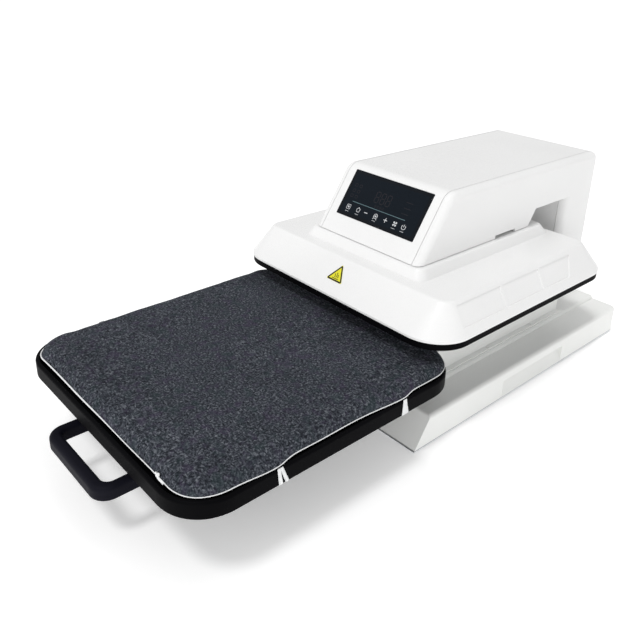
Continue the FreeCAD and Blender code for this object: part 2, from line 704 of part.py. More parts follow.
# triangular hot-surface sign on the front slope of the head
front_lean = math.degrees(math.atan2(head_top - head_lip_top, head_top_front - head_front))
sign_side = 32.0
sign_share = 0.52
sign_y = head_front + (head_top_front - head_front) * sign_share
sign_z = head_lip_top + (head_top - head_lip_top) * sign_share
height = sign_side * math.sqrt(3) / 2
corners = [V(-sign_side / 2, -height / 3, 0), V(sign_side / 2, -height / 3, 0), V(0, height * 2 / 3, 0)]
sign = polygon(corners).extrude(V(0, 0, 0.3))


def upright_edge(e):
    return e.BoundBox.ZLength > 0.29


sign = round_edges(sign, 1.2, upright_edge)
sign.rotate(V(0, 0, 0), V(1, 0, 0), front_lean)
sign.translate(V(0, sign_y, sign_z))
save("hot_sign", sign)
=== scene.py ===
import json
import math

import bpy
from mathutils import Matrix, Vector, noise


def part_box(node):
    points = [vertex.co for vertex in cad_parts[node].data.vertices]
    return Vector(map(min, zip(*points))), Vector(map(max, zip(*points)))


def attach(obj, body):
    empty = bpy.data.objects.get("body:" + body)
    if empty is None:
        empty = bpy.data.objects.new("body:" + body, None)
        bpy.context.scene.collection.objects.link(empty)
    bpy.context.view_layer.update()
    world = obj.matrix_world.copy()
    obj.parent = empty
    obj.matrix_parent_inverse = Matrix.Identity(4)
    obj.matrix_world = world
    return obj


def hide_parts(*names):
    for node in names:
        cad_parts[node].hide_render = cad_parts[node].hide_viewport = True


# Looks for a drawer-style automatic heat press. Metres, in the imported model's frame:
# -Y towards the operator, +Z up, the table at Z = 0.

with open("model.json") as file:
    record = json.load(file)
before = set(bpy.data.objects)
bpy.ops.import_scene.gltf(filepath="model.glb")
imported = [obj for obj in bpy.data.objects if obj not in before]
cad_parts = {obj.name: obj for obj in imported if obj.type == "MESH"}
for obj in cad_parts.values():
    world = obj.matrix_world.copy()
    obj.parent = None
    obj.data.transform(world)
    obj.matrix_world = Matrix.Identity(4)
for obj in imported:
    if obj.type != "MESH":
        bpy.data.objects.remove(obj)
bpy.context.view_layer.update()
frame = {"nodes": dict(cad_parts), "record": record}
nodes = frame["nodes"]
MM = 0.001


# ---- material helpers --------------------------------------------------------------------------
class Finish:
    """A principled material with its detail worked out in the row frame."""

    def __init__(self, name):
        self.mat = bpy.data.materials.new(name)
        self.mat.use_nodes = True
        self.tree = self.mat.node_tree
        self.shader = self.tree.nodes["Principled BSDF"]
        self.where = self.tree.nodes.new("ShaderNodeTexCoord").outputs["Object"]

    def node(self, kind, **values):
        made = self.tree.nodes.new(kind)
        for key, value in values.items():
            setattr(made, key, value)
        return made

    def link(self, a, b):
        self.tree.links.new(a, b)

    def set(self, socket, value):
        self.shader.inputs[socket].default_value = value

    def stretched(self, scale, turn=(0, 0, 0)):
        m = self.node("ShaderNodeMapping")
        m.inputs["Scale"].default_value = scale
        m.inputs["Rotation"].default_value = turn
        self.link(self.where, m.inputs["Vector"])
        return m.outputs["Vector"]

    def noise(self, scale, detail=2.0, rough=0.5, coord=None):
        n = self.node("ShaderNodeTexNoise")
        n.inputs["Scale"].default_value = scale
        n.inputs["Detail"].default_value = detail
        n.inputs["Roughness"].default_value = rough
        self.link(coord or self.where, n.inputs["Vector"])
        return n.outputs["Fac"]

    def cells(self, scale):
        v = self.node("ShaderNodeTexVoronoi", feature="F1")
        v.inputs["Scale"].default_value = scale
        self.link(self.where, v.inputs["Vector"])
        return v.outputs["Distance"]

    def ramp(self, fac, *stops):
        r = self.node("ShaderNodeValToRGB")
        elements = r.color_ramp.elements
        while len(elements) < len(stops):
            elements.new(0.5)
        for element, (pos, value) in zip(elements, stops):
            element.position = pos
            element.color = (*value, 1) if hasattr(value, "__len__") else (value, value, value, 1)
        self.link(fac, r.inputs["Fac"])
        return r.outputs["Color"]

    def mix(self, fac, a, b, mode="MIX"):
        m = self.node("ShaderNodeMix", data_type="RGBA", blend_type=mode)
        for key, value in (("Factor", fac), ("A", a), ("B", b)):
            socket = [s for s in m.inputs if s.name == key and s.enabled][0]
            if isinstance(value, bpy.types.NodeSocket):
                self.link(value, socket)
            else:
                socket.default_value = value if isinstance(value, float) else (*value, 1)
        return [s for s in m.outputs if s.enabled][0]

    def color(self, socket):
        self.link(socket, self.shader.inputs["Base Color"])
        return self

    def rough(self, fac, low, high):
        self.link(self.ramp(fac, (0.3, low), (0.7, high)), self.shader.inputs["Roughness"])
        return self

    def bump(self, height, strength, distance):
        b = self.node("ShaderNodeBump")
        b.inputs["Strength"].default_value = strength
        b.inputs["Distance"].default_value = distance
        self.link(height, b.inputs["Height"])
        self.link(b.outputs["Normal"], self.shader.inputs["Normal"])
        return self


def speckled(name, dark, light, rough, grain, depth, specular=0.5):
    """A moulded, painted or cast surface: soft clouds in its colour over a fine grain."""
    f = Finish(name)
    f.set("Specular IOR Level", specular)
    cloud_fac = f.noise(7.0, 3.0)
    fine = f.noise(grain, 2.0, 0.6)
    both = f.mix(0.25, cloud_fac, fine)
    f.color(f.ramp(both, (0.35, dark), (0.65, light)))
    f.rough(fine, rough[0], rough[1])
    f.bump(fine, 0.25, depth)
    return f


def brushed(name, dark, light, rough, along):
    """Metal drawn or milled in one direction: the grain is long along that axis."""
    f = Finish(name)
    f.set("Metallic", 1.0)
    scale = [900.0, 900.0, 900.0]
    scale["XYZ".index(along)] = 12.0
    grain = f.noise(1.0, 3.0, 0.6, f.stretched(scale))
    stain = f.noise(18.0, 3.0)
    f.color(f.ramp(f.mix(0.4, grain, stain), (0.3, dark), (0.7, light)))
    f.rough(grain, rough[0], rough[1])
    f.bump(grain, 0.15, 0.00006)
    return f


def heather_cloth():
    """Knitted melange: short dark, mid and pale fibres with a few blue and violet ones."""
    f = Finish("heather_knit")
    f.set("Roughness", 0.95)
    f.set("Specular IOR Level", 0.10)
    f.set("Sheen Weight", 0.01)
    f.set("Sheen Roughness", 0.6)
    fibre_a = f.noise(1.0, 2.0, 0.6, f.stretched((250, 500, 380), (0, 0, 0.45)))
    fibre_b = f.noise(1.0, 2.0, 0.6, f.stretched((500, 260, 380), (0, 0, 0.30)))
    choose = f.ramp(f.noise(150.0, 2.0), (0.42, 0.0), (0.58, 1.0))
    fibres = f.mix(choose, fibre_a, fibre_b)
    tone = f.ramp(fibres, (0.30, (0.0046, 0.0056, 0.0082)), (0.45, (0.0235, 0.0265, 0.0345)),
                  (0.55, (0.0560, 0.0625, 0.0760)), (0.69, (0.1620, 0.1730, 0.1930)))
    violet = f.ramp(f.noise(70.0, 3.0, 0.6), (0.52, 0.0), (0.66, 0.5))
    tone = f.mix(violet, tone, (0.042, 0.031, 0.060))
    turned = f.stretched((1, 1, 1), (0, 0, 1.1))
    green = f.ramp(f.noise(60.0, 3.0, 0.6, turned), (0.52, 0.0), (0.66, 0.45))
    tone = f.mix(green, tone, (0.022, 0.038, 0.040))
    patch = f.ramp(f.noise(14.0, 3.0), (0.3, 0.90), (0.7, 1.08))
    f.color(f.mix(1.0, tone, patch, "MULTIPLY"))
    wales = f.node("ShaderNodeTexWave", wave_type="BANDS", bands_direction="X")
    wales.inputs["Scale"].default_value = 130.0
    wales.inputs["Distortion"].default_value = 2.5
    wales.inputs["Detail"].default_value = 2.0
    wales.inputs["Detail Scale"].default_value = 3.0
    f.link(f.where, wales.inputs["Vector"])
    height = f.mix(0.35, fibres, wales.outputs["Fac"])
    f.bump(height, 0.6, 0.0006)
    return f


def white_elastic():
    """Narrow woven elastic: fine ribs along it, slightly soiled."""
    f = Finish("white_elastic")
    f.set("Roughness", 0.8)
    f.set("Sheen Weight", 0.15)
    rib = f.node("ShaderNodeTexWave", wave_type="BANDS", bands_direction="Y")
    rib.inputs["Scale"].default_value = 420.0
    rib.inputs["Distortion"].default_value = 0.8
    f.link(f.where, rib.inputs["Vector"])
    dirt = f.noise(160.0, 3.0)
    f.color(f.mix(f.ramp(dirt, (0.35, 0.0), (0.75, 0.5)), (0.86, 0.87, 0.87), (0.74, 0.75, 0.77)))
    f.bump(f.mix(0.3, rib.outputs["Fac"], dirt), 0.5, 0.0004)
    return f


def sponge():
    """Open-cell silicone sponge."""
    f = Finish("silicone_sponge")
    f.set("Roughness", 0.85)
    pores = f.cells(700.0)
    f.color(f.ramp(pores, (0.05, (0.16, 0.035, 0.02)), (0.5, (0.42, 0.11, 0.06))))
    f.bump(pores, 0.6, 0.0004)
    return f


def circuit_board():
    """Green lacquer with paler copper tracks."""
    f = Finish("circuit_board")
    f.set("Roughness", 0.45)
    tracks = f.node("ShaderNodeTexBrick")
    tracks.inputs["Scale"].default_value = 90.0
    tracks.inputs["Mortar Size"].default_value = 0.08
    tracks.inputs["Color1"].default_value = (0.010, 0.085, 0.040, 1)
    tracks.inputs["Color2"].default_value = (0.014, 0.105, 0.050, 1)
    tracks.inputs["Mortar"].default_value = (0.05, 0.19, 0.09, 1)
    f.link(f.where, tracks.inputs["Vector"])
    f.color(tracks.outputs["Color"])
    f.bump(tracks.outputs["Fac"], 0.2, 0.0001)
    return f


def touch_glass():
    """Black printed glass with faint smears."""
    f = Finish("touch_glass")
    f.set("Specular IOR Level", 0.12)
    smear = f.noise(30.0, 4.0, 0.6, f.stretched((1, 3, 1), (0, 0, 0.6)))
    f.color(f.ramp(smear, (0.3, (0.0050, 0.0064, 0.0090)), (0.7, (0.0066, 0.0084, 0.0118))))
    f.rough(smear, 0.10, 0.20)
    return f


def print_ink(name, dark, light, glow=0.0, rough=0.5, specular=0.3):
    """Printed or back-lit marks: slightly uneven in tone."""
    f = Finish(name)
    f.set("Roughness", rough)
    f.set("Specular IOR Level", specular)
    uneven = f.noise(500.0, 2.0)
    tone = f.ramp(uneven, (0.3, dark), (0.7, light))
    f.color(tone)
    if glow:
        f.link(tone, f.shader.inputs["Emission Color"])
        f.set("Emission Strength", glow)
    return f


def insulating_board():
    """Pressed mineral fibre with long strands."""
    f = Finish("fibre_board")
    f.set("Roughness", 0.9)
    strands = f.noise(1.0, 4.0, 0.7, f.stretched((60, 500, 500), (0, 0, 0.7)))
    f.color(f.ramp(strands, (0.3, (0.46, 0.41, 0.30)), (0.7, (0.66, 0.61, 0.48))))
    f.bump(strands, 0.5, 0.0004)
    return f


finishes = {
    "white_plastic": speckled("white_gloss_plastic", (0.845, 0.845, 0.842), (0.875, 0.875, 0.872),
                              (0.24, 0.34), 1500.0, 0.00004, specular=0.45),
    "white_paint": speckled("white_powder_coat", (0.845, 0.851, 0.833), (0.875, 0.881, 0.863),
                            (0.38, 0.52), 1900.0, 0.00008, specular=0.4),
    "black_paint": speckled("black_powder_coat", (0.0020, 0.0020, 0.0025), (0.0034, 0.0034, 0.0042),
                            (0.40, 0.54), 1600.0, 0.00008, specular=0.02),
    "black_plastic": speckled("black_textured_plastic", (0.0050, 0.0050, 0.0088),
                              (0.0080, 0.0080, 0.0132), (0.45, 0.60), 1300.0, 0.00010, specular=0.05),
    "black_glass": touch_glass(),
    "silicone": sponge(),
    "cover_cloth": heather_cloth(),
    "white_elastic": white_elastic(),
    "foot_rubber": speckled("black_rubber", (0.010, 0.010, 0.010), (0.022, 0.022, 0.022),
                            (0.7, 0.9), 800.0, 0.0002),
    "aluminium": brushed("milled_aluminium", (0.62, 0.63, 0.64), (0.80, 0.81, 0.82), (0.22, 0.38), "X"),
    "steel": brushed("bright_steel", (0.50, 0.51, 0.52), (0.68, 0.69, 0.70), (0.14, 0.28), "Z"),
    "zinc_steel": brushed("zinc_plated_steel", (0.46, 0.47, 0.49), (0.66, 0.67, 0.68),
                          (0.28, 0.46), "Y"),
    "bronze": brushed("bearing_bronze", (0.38, 0.23, 0.09), (0.60, 0.40, 0.18), (0.25, 0.42), "Z"),
    "board": circuit_board(),
    "insulation": insulating_board(),
    "sign_yellow": print_ink("sign_yellow", (0.70, 0.66, 0.020), (0.80, 0.76, 0.035)),
}
ink_black = print_ink("ink_black", (0.008, 0.008, 0.008), (0.016, 0.016, 0.015))
ink_white = print_ink("lit_white", (0.46, 0.47, 0.49), (0.60, 0.61, 0.62), 0.14)
ink_teal = print_ink("lit_teal", (0.070, 0.120, 0.135), (0.100, 0.165, 0.180), 0.12)
ink_ghost = print_ink("unlit_grey", (0.0170, 0.0170, 0.0215), (0.0230, 0.0220, 0.0270), 0.0, 0.2, 0.12)
ink_navy = print_ink("screen_navy", (0.0042, 0.0072, 0.0115), (0.0058, 0.0095, 0.0150), 0.0, 0.16, 0.12)

slot_of = {s["node"]: s["material_slot"] for s in frame["record"]["subparts"]}
for node_name, obj in nodes.items():
    obj.data.materials.clear()
    obj.data.materials.append(finishes[slot_of[node_name]].mat)


# ---- mesh helpers ------------------------------------------------------------------------------
def add_piece(name, mesh, body, slot, *mats, replaces=()):
    """A visual piece on a body, in its slot's finish or in the given ones."""
    obj = bpy.data.objects.new(name, mesh)
    bpy.context.scene.collection.objects.link(obj)
    for m in mats or (finishes[slot],):
        obj.data.materials.append(m.mat)
    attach(obj, body)
    if replaces:
        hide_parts(*replaces)
    return obj


def join(verts, faces, more, quads):
    """Adds a second mesh's points and faces to the first one's."""
    faces += [tuple(len(verts) + i for i in f) for f in quads]
    verts += more


def mesh_from(name, verts, faces, smooth=True):
    mesh = bpy.data.meshes.new(name)
    mesh.from_pydata(verts, [], faces)
    mesh.update()
    for p in mesh.polygons:
        p.use_smooth = smooth
    return mesh


# ---- fabric cover of the lower platen ----------------------------------------------------------
pad_low, pad_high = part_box("pad_cover")
tray_low, tray_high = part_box("platen_tray")
strap_low, strap_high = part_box("cover_straps")
strap_ys = (strap_low.y + 2 * MM, strap_high.y - 8 * MM)
pad_half = pad_high.x
pad_mid_y = (pad_low.y + pad_high.y) / 2
pad_reach_y = (pad_high.y - pad_low.y) / 2
pad_r = 46 * MM
hem_front_z = 121.6 * MM
hem_side_z = 121.3 * MM
pull_ahead = 38 * MM
pull_behind = 16 * MM
pull_down = 1.8 * MM
left_droop = 4.5 * MM
left_droop_reach = 34 * MM
corner_droop = 2.4 * MM
corner_droop_reach = 40 * MM
corner_inset = 14 * MM
front_blend = 70 * MM
front_push_blend = 25 * MM
edge_roll = 10 * MM
cloth_top = pad_high.z - 2.1 * MM
crown_height = 0.9 * MM
sag_depth = 0.7 * MM


def bell(d, width):
    return math.exp(-(d / width) ** 2)


def clamp(v):
    return max(0.0, min(1.0, v))


def strap_pull(p):
    """How strongly the straps pull at a point of the hem, from 0 to 1."""
    pull = sum(bell(p.y - y, pull_ahead if p.y < y else pull_behind) for y in strap_ys)
    return pull if abs(p.x) > pad_half * 0.93 else 0.0


def droop(p):
    """How far the cover hangs low: on the left towards the front, and at the right front corner."""
    forward = 1 - (p.y - pad_low.y) / (pad_high.y - pad_low.y)
    left = bell(p.x - pad_low.x, left_droop_reach) * clamp(forward)
    corner = Vector((pad_high.x - corner_inset, pad_low.y + corner_inset))
    right = bell((corner - Vector((p.x, p.y))).length, corner_droop_reach)
    return left_droop * left + corner_droop * right


def hem_height(p):
    front = clamp((pad_low.y + front_blend - p.y) / front_blend)
    ripple = 0.35 * MM * math.sin(p.y * 71 + p.x * 53)
    level = hem_side_z + (hem_front_z - hem_side_z) * front
    return level - pull_down * strap_pull(p) - droop(p) + ripple


def side_point(side, w, half_x, half_y, r):
    """A point on a rounded rectangle: side 0 to 3 from +X counter-clockwise, w from -1 to 1 along it."""
    along = half_y if side % 2 == 0 else half_x
    across = half_x if side % 2 == 0 else half_y
    straight = along - r
    reach = straight + math.pi * r / 4
    s = abs(w) * reach
    if s <= straight:
        p = (across, s)
    else:
        a = (s - straight) / r
        p = (across - r + r * math.cos(a), straight + r * math.sin(a))
    p = Vector((p[0], math.copysign(p[1], w)))
    p.rotate(Matrix.Rotation(side * math.pi / 2, 2))
    return p


def lattice(shares):
    """Square lattice indices in rings, and each index's ring share, side and place along the side."""
    n = len(shares)
    spots = []
    for i in range(-n, n + 1):
        for j in range(-n, n + 1):
            k = max(abs(i), abs(j))
            if k == 0:
                spots.append((0.0, 0, 0.0))
            elif i == k:
                spots.append((shares[k - 1], 0, j / k))
            elif j == k:
                spots.append((shares[k - 1], 1, -i / k))
            elif i == -k:
                spots.append((shares[k - 1], 2, -j / k))
            else:
                spots.append((shares[k - 1], 3, i / k))
    return n, spots


def edge_ring(n):
    """Lattice indices of the outermost ring, counter-clockwise, starting at the middle of +X."""
    width = 2 * n + 1
    at = lambda i, j: (i + n) * width + (j + n)
    ring = [at(n, j) for j in range(-n, n)]
    ring += [at(-i, n) for i in range(-n, n)]
    ring += [at(-n, -j) for j in range(-n, n)]
    ring += [at(i, -n) for i in range(-n, n)]
    return ring


def sheet_over(half_x, half_y, mid_y, r, shares, place, rings):
    """A lattice over a rounded rectangle, then rings outside it. place(p, share) and each
    ring(p, out) give the point for a plan position; out is the outward direction there."""
    n, spots = lattice(shares)
    verts = []
    for share, side, w in spots:
        p = side_point(side, w, half_x, half_y, r) * share
        verts.append(place(Vector((p.x, p.y + mid_y)), share))
    width = 2 * n + 1
    faces = [(a, a + width, a + width + 1, a + 1)
             for i in range(2 * n) for a in range(i * width, i * width + 2 * n)]
    inner = edge_ring(n)
    edge = [(spots[v][1], spots[v][2]) for v in inner]
    ring_starts = []
    for ring in rings:
        outer = []
        for side, w in edge:
            p = side_point(side, w, half_x, half_y, r)
            q = side_point(side, w, half_x + 1 * MM, half_y + 1 * MM, r + 1 * MM)
            out = (q - p).normalized()
            outer.append(len(verts))
            verts.append(ring(Vector((p.x, p.y + mid_y)), out))
        for k, a in enumerate(inner):
            b = inner[(k + 1) % len(inner)]
            faces.append((a, outer[k], outer[(k + 1) % len(outer)], b))
        ring_starts.append(outer)
        inner = outer
    return verts, faces, ring_starts


# ---- cover shape -------------------------------------------------------------------------------
top_shares = [0.92 * k / 39 for k in range(1, 40)]
top_shares += [0.935, 0.949, 0.962, 0.974, 0.984, 0.991, 0.996, 1.0]


def hem_out(p):
    """How far the hem stands out from the pad's side: more at the straps and along the front."""
    front = clamp((pad_low.y + front_push_blend - p.y) / front_push_blend)
    return (0.4 + 4.2 * strap_pull(p) + 1.3 * front) * MM


def rolled(r, d):
    """Drop of a rounded edge of radius r at the distance d in from the edge."""
    return r - math.sqrt(max(0.0, r ** 2 - max(0.0, r - d) ** 2))


def top_place(p, share):
    roll = rolled(edge_roll, (1 - share) * pad_half)
    sag = sag_depth * noise.noise(Vector((p.x * 9, p.y * 9, 0.3)))
    crown = crown_height * (1 - share ** 4)
    return Vector((p.x, p.y, cloth_top + crown + sag - roll - droop(p)))


def skirt_ring(t):
    """A ring of the skirt, t from 0 at the top's edge to 1 at the hem."""
    def ring(p, out):
        z = (1 - t) * (cloth_top - edge_roll - droop(p)) + t * hem_height(p)
        o = (1 - (1 - t) ** 2) * hem_out(p) + 0.5 * MM * math.sin(math.pi * t)
        q = p + out * o
        return Vector((q.x, q.y, z))
    return ring


def tuck_ring(depth, back):
    """A ring of the hem's inner fold."""
    def ring(p, out):
        free = 1 - strap_pull(p)
        q = p + out * (hem_out(p) - back * (0.3 + 0.7 * free))
        return Vector((q.x, q.y, hem_height(p) - depth * free))
    return ring


skirt_rings = [skirt_ring(0.25), skirt_ring(0.5), skirt_ring(0.75), skirt_ring(1.0)]
tuck_rings = [tuck_ring(1.0 * MM, 0.5 * MM), tuck_ring(2.0 * MM, 1.0 * MM)]
verts, faces, rings = sheet_over(pad_half, pad_reach_y, pad_mid_y, pad_r, top_shares, top_place,
                                 skirt_rings + tuck_rings)
hem_index = len(skirt_rings) - 1
hem_ring = rings[hem_index]
cover = add_piece("fabric_cover", mesh_from("fabric_cover", verts, faces), "drawer", "cover_cloth",
                  replaces=("pad_cover",))


def swell(obj, held, pressure, cap, frames=20):
    """Lets the cloth settle under a light pressure from inside. Held vertices stay; others move at
    most cap."""
    rest = [v.co.copy() for v in obj.data.vertices]
    group = obj.vertex_groups.new(name="held")
    group.add(held, 1.0, "REPLACE")
    cloth = obj.modifiers.new("cloth", "CLOTH")
    s = cloth.settings
    s.quality = 6
    s.mass = 0.25
    s.tension_stiffness = 12
    s.compression_stiffness = 12
    s.shear_stiffness = 4
    s.bending_stiffness = 0.4
    s.use_pressure = True
    s.uniform_pressure_force = pressure
    s.shrink_min = -0.006
    s.vertex_group_mass = "held"
    s.effector_weights.gravity = 0
    scene = bpy.context.scene
    for f in range(1, frames + 1):
        scene.frame_set(f)
    shown = obj.evaluated_get(bpy.context.evaluated_depsgraph_get())
    moved = [v.co.copy() for v in shown.data.vertices]
    obj.modifiers.remove(cloth)
    for v, a, b in zip(obj.data.vertices, rest, moved):
        step = b - a
        if step.length > 1e-9:
            v.co = a + step.normalized() * cap * math.tanh(step.length / cap)
    scene.frame_set(1)


swell(cover, [i for ring in rings[hem_index:] for i in ring], pressure=1.2, cap=1.6 * MM)
sub = cover.modifiers.new("soften", "SUBSURF")
sub.levels = sub.render_levels = 1


def tube(path, radius, sides=8, closed=True, flat=1.0):
    """A tube along a closed or open path; flat below 1 makes it oval, lower than wide."""
    verts, faces = [], []
    n = len(path)
    for i, p in enumerate(path):
        a = path[(i - 1) % n] if closed or i else p
        b = path[(i + 1) % n] if closed or i < n - 1 else p
        way = (b - a).normalized()
        side = way.cross(Vector((0, 0, 1)))
        side = side.normalized() if side.length > 1e-6 else Vector((1, 0, 0))
        up = side.cross(way)
        r = radius(i / n) if callable(radius) else radius
        for k in range(sides):
            t = 2 * math.pi * k / sides
            verts.append(p + side * r * math.cos(t) + up * r * flat * math.sin(t))
    last = n if closed else n - 1
    for i in range(last):
        for k in range(sides):
            a, b = i * sides + k, i * sides + (k + 1) % sides
            c, d = (i + 1) % n * sides + (k + 1) % sides, (i + 1) % n * sides + k
            faces.append((a, b, c, d))
    if not closed:
        faces.append(tuple(reversed(range(sides))))
        faces.append(tuple((n - 1) * sides + k for k in range(sides)))
    return verts, faces


# ---- piping, drawstring knot and straps --------------------------------------------------------
hem_points = [cover.data.vertices[i].co.copy() for i in hem_ring]


def outward(points, i):
    """Level direction away from a counter-clockwise closed path."""
    n = len(points)
    way = points[(i + 1) % n] - points[(i - 1) % n]
    return Vector((way.y, -way.x, 0)).normalized()


piping_path = [p + outward(hem_points, i) * 0.4 * MM for i, p in enumerate(hem_points)]


def piping_radius(t):
    """Fuller along the front hem than along the sides; t runs once round from the middle of +X."""
    front = clamp((0.15 - abs(t - 0.75)) / 0.04)
    return (0.60 + 0.35 * front + 0.05 * math.sin(t * 900)) * MM


verts, faces = tube(piping_path, piping_radius)
piping = add_piece("cover_piping", mesh_from("cover_piping", verts, faces), "drawer", "white_elastic")

knot_at = Vector((138 * MM, pad_low.y - 1.2 * MM, hem_front_z + 0.4 * MM))


def knot_loop(steps=60):
    """A small overhand knot of the hem cord."""
    points = []
    for i in range(steps):
        t = 2 * math.pi * i / steps
        x = math.sin(t) + 2 * math.sin(2 * t)
        z = math.cos(t) - 2 * math.cos(2 * t)
        y = -math.sin(3 * t)
        points.append(knot_at + Vector((x * 1.15, y * 0.8, z * 0.8)) * MM)
    return points


def tail(reach, drop, wave, steps=14):
    """One cut end of the hem cord, lying against the cover."""
    points = []
    for i in range(steps):
        t = i / (steps - 1)
        points.append(knot_at + Vector((reach * t, -0.6 - 0.7 * math.sin(math.pi * t),
                                        -drop * t ** 1.4 + wave * math.sin(5 * t))) * MM)
    return points


verts, faces = tube(knot_loop(), 0.9 * MM)
for reach, drop, wave in ((13.0, 3.0, 0.4), (7.0, 3.6, -0.3)):
    more, quads = tube(tail(reach, drop, wave), lambda t: (0.9 + 0.35 * t) * MM, closed=False)
    join(verts, faces, more, quads)
knot = add_piece("hem_knot", mesh_from("hem_knot", verts, faces), "drawer", "white_elastic")

strap_gap = 0.55 * MM
strap_thick = 0.5 * MM


def strap_mesh(side, top_y, low_y, top_w, low_w, gathers, seed):
    """One elastic strap from the hem down the tray's side and in under it, gathered across its width."""
    across, along = 18, 30
    bend_r = 2.2 * MM
    out_x = tray_high.x + strap_gap
    top_z = hem_side_z - 1.9 * MM
    under_z = tray_low.z - 0.5 * MM
    drop = top_z - under_z - bend_r
    under = 14 * MM
    total = drop + bend_r * math.pi / 2 + under
    verts, faces = [], []
    for j in range(along + 1):
        s = total * j / along
        t = min(1.0, s / drop)
        if s < drop:
            x, z, nx, nz = out_x + 0.5 * MM * (1 - t) ** 3, top_z - s, 1.0, 0.0
        elif s < drop + bend_r * math.pi / 2:
            a = (s - drop) / bend_r
            x, z = out_x - bend_r + bend_r * math.cos(a), top_z - drop - bend_r * math.sin(a)
            nx, nz = math.cos(a), -math.sin(a)
        else:
            x, z = out_x - bend_r - (s - drop - bend_r * math.pi / 2), under_z
            nx, nz = 0.0, -1.0
        width = top_w + (low_w - top_w) * t ** 1.3
        mid = top_y + (low_y - top_y) * t
        for i in range(across + 1):
            u = i / across - 0.5
            fold = math.sin((u + 0.5) * math.pi * 2 * gathers + seed) * (0.35 - 0.2 * t) * MM
            fray = 0.25 * MM * noise.noise(Vector((s * 260, u * 2.0, seed)))
            lift = 0.25 * MM + fold
            verts.append(Vector((side * (x + nx * lift), mid + width * u + fray, z + nz * lift)))
    for j in range(along):
        for i in range(across):
            a = j * (across + 1) + i
            quad = (a, a + 1, a + across + 2, a + across + 1)
            faces.append(quad if side > 0 else tuple(reversed(quad)))
    return verts, faces


for side, side_name in ((1, "right"), (-1, "left")):
    front_y, rear_y = strap_ys
    for name, parts in (
        ("front", ((front_y - 1.8 * MM, front_y + 1.5 * MM, 4.2 * MM, 5.5 * MM, 1.5, 0.4),
                   (front_y + 1.8 * MM, front_y + 10.0 * MM, 4.2 * MM, 5.0 * MM, 1.5, 2.1))),
        ("rear", ((rear_y + 0.5 * MM, rear_y + 3.5 * MM, 6.0 * MM, 12 * MM, 3.0, 1.0),)),
    ):
        verts, faces = [], []
        for part in parts:
            more, quads = strap_mesh(side, *part)
            join(verts, faces, more, quads)
        strap = add_piece(f"elastic_strap_{name}_{side_name}", mesh_from("strap", verts, faces),
                          "drawer", "white_elastic")
        thick = strap.modifiers.new("thickness", "SOLIDIFY")
        thick.thickness = strap_thick
        thick.offset = 1.0
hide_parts("cover_straps")

# ---- sponge pad under the cover ----------------------------------------------------------------
sponge_low, sponge_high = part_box("silicone_pad")
sponge_shares = [0.9 * k / 12 for k in range(1, 13)] + [0.94, 0.965, 0.985, 1.0]
sponge_roll = 4 * MM
sponge_top = sponge_high.z - 3.4 * MM
sponge_crown = 0.6 * MM
sponge_inset = 6 * MM


def sponge_place(p, share):
    roll = rolled(sponge_roll, (1 - share) * sponge_high.x)
    z = sponge_top + sponge_crown * (1 - share ** 3) - roll - droop(p)
    return Vector((p.x, p.y, max(z, sponge_low.z + 1.0 * MM)))


def side_ring(inset, z):
    """A level ring, set in from the outline."""
    return lambda p, out: Vector((p.x - out.x * inset, p.y - out.y * inset, z))


sponge_x = sponge_high.x - sponge_inset
sponge_y = (sponge_high.y - sponge_low.y) / 2 - sponge_inset
verts, faces, sponge_rings = sheet_over(
    sponge_x, sponge_y, (sponge_low.y + sponge_high.y) / 2, 46 * MM, sponge_shares, sponge_place,
    [side_ring(0.0, sponge_low.z + 0.8 * MM), side_ring(0.5 * MM, sponge_low.z + 0.3 * MM),
     side_ring(1.4 * MM, sponge_low.z)])
faces.append(tuple(reversed(sponge_rings[-1])))
pad = add_piece("sponge_pad", mesh_from("sponge_pad", verts, faces), "drawer", "silicone",
                replaces=("silicone_pad",))
pad.data.polygons[len(faces) - 1].use_smooth = False

# ---- lower platen, its edge set back so that the cloth can roll over it ------------------------
plate_low, plate_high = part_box("lower_platen")
plate_inset = 5 * MM
verts, faces, plate_rings = sheet_over(
    plate_high.x - plate_inset, (plate_high.y - plate_low.y) / 2 - plate_inset,
    (plate_low.y + plate_high.y) / 2, 44 * MM, [0.5, 0.9, 0.97, 1.0],
    lambda p, share: Vector((p.x, p.y, plate_high.z)),
    [side_ring(0.0, plate_high.z - 0.5 * MM), side_ring(0.0, plate_low.z + 0.5 * MM),
     side_ring(0.5 * MM, plate_low.z)])
faces.append(tuple(reversed(plate_rings[-1])))
add_piece("lower_platen_plate", mesh_from("lower_platen_plate", verts, faces), "drawer",
          slot_of["lower_platen"], replaces=("lower_platen",))


# ---- marks on sloping faces --------------------------------------------------------------------
class Slope:
    """The outer face of a CAD node that faces forwards and up, with its own axes."""

    def __init__(self, node):
        obj = nodes[node]
        sums = {}
        for p in obj.data.polygons:
            key = tuple(round(c, 2) for c in p.normal)
            if p.normal.y < -0.1 and p.normal.z > 0.1:
                sums[key] = sums.get(key, Vector()) + p.normal * p.area
        self.normal = max(sums.values(), key=lambda v: v.length).normalized()
        self.right = Vector((1, 0, 0))
        self.up = self.normal.cross(self.right)
        low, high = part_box(node)
        mid = (low + high) / 2
        reach = max((v.co - mid).dot(self.normal) for v in obj.data.vertices)
        self.centre = mid + self.normal * reach

    def at(self, x, s, h):
        """The point x mm to the right, s mm up the slope and h mm out of it."""
        return self.centre + self.right * (x * MM) + self.up * (s * MM) + self.normal * (h * MM)


